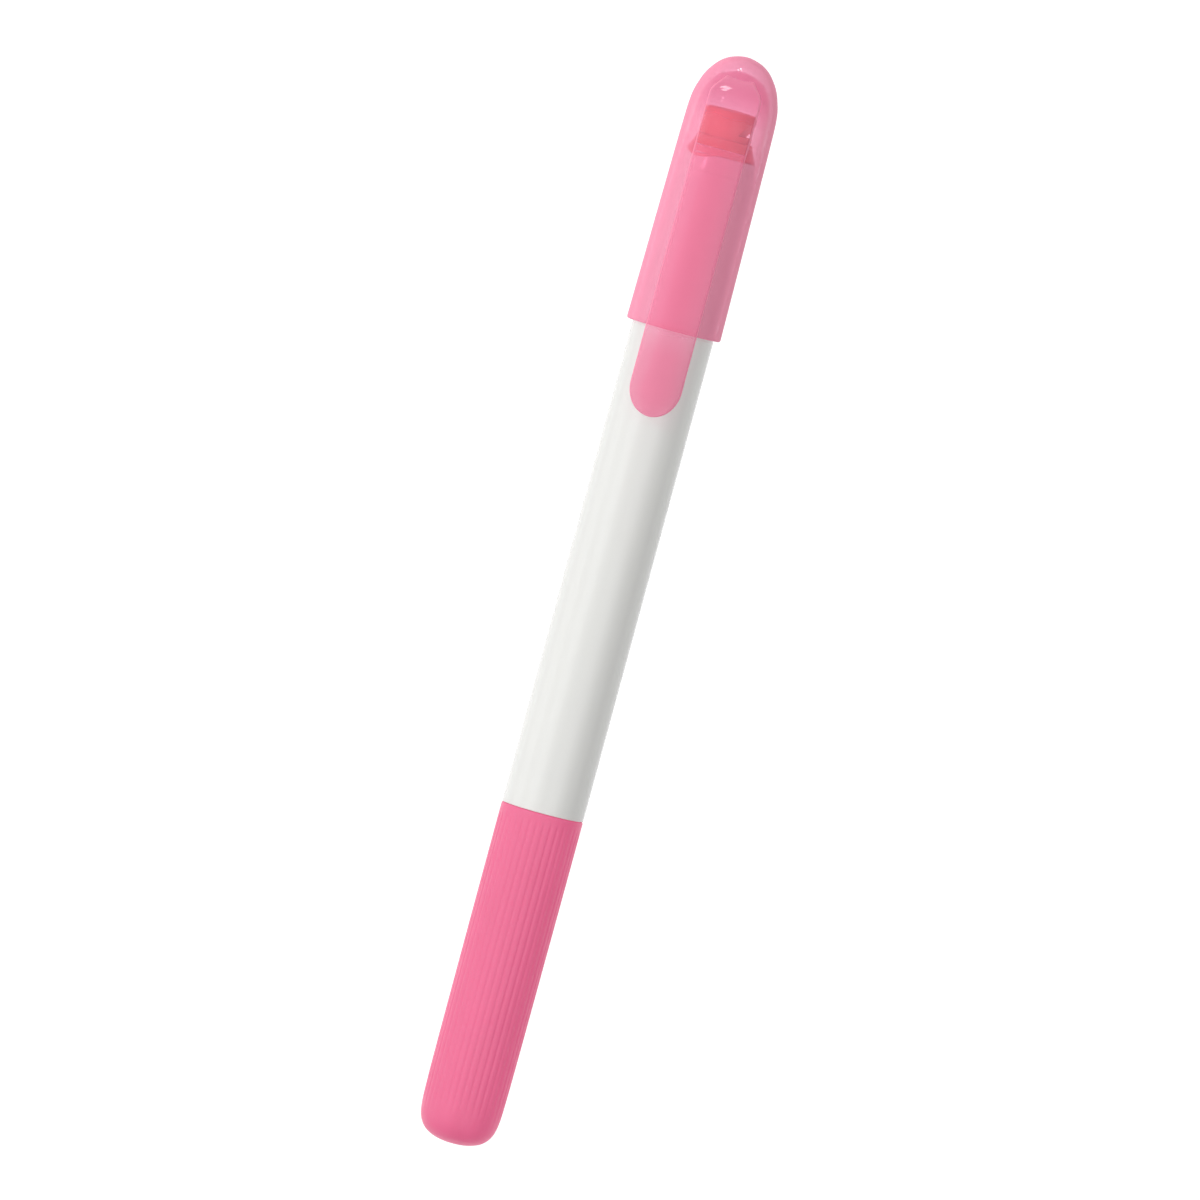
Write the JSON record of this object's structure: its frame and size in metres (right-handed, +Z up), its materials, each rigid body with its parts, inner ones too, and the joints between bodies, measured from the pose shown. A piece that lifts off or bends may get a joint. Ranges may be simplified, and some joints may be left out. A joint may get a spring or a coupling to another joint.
{
  "type": "twist-up highlighter",
  "caption": "Twist-up wax highlighter: round barrel, fluted rear grip that winds a coloured stick out and in, clear tinted cap with a long pocket clip.",
  "frame": {"origin": "under the middle of the pen's length and width, on the plane that touches the lowest side of the cap's lip; the pen lies level with its clip on top", "axes": "+X along the pen towards the cap's dome, +Z up through the clip, +Y across the pen"},
  "size_m": [0.1396, 0.012, 0.0144],
  "materials": {
    "barrel_white": "polished injection-moulded white plastic",
    "grip_pink": "satin pink moulded plastic",
    "cap_tinted": "polished translucent pink plastic",
    "collar_coral": "moulded coral plastic",
    "gel_coral": "waxy solid gel ink",
    "inner_natural": "natural acetal",
    "ring_rubber": "soft o-ring"
  },
  "bodies": {
    "barrel": {"barrel_tube": "barrel_white", "nose_collar": "collar_coral", "guide_sleeve": "inner_natural", "thrust_bush": "inner_natural"},
    "twist_grip": {"grip_shell": "grip_pink", "grip_core": "inner_natural", "lead_screw": "inner_natural", "drag_ring": "ring_rubber"},
    "carriage": {"drive_nut": "inner_natural", "stick_holder": "inner_natural", "gel_stick": "gel_coral"},
    "cap": {"cap_shell": "cap_tinted"},
    "clip": {"pocket_clip": "cap_tinted"}
  },
  "joints": [
    {"name": "grip_twist", "type": "hinge", "parent": "barrel", "child": "twist_grip", "pos_m": [-0.02705, 0, 0.006], "axis": [1, 0, 0], "range_deg": [-585, 315]},
    {"name": "stick_slide", "type": "slide", "parent": "barrel", "child": "carriage", "axis": [1, 0, 0], "range_m": [-0.0065, 0.0035]},
    {"name": "cap_pull", "type": "slide", "parent": "barrel", "child": "cap", "axis": [1, 0, 0], "range_m": [0, 0.045]},
    {"name": "clip_flex", "type": "hinge", "parent": "cap", "child": "clip", "pos_m": [0.06425, 0, 0.01215], "axis": [0, 1, 0], "range_deg": [0, 3.5], "stiffness_Nm_per_rad": 1.2}
  ],
  "couplings": [
    {"joint": "grip_twist", "follows": "stick_slide", "rad_per_m": 1570.8}
  ]
}
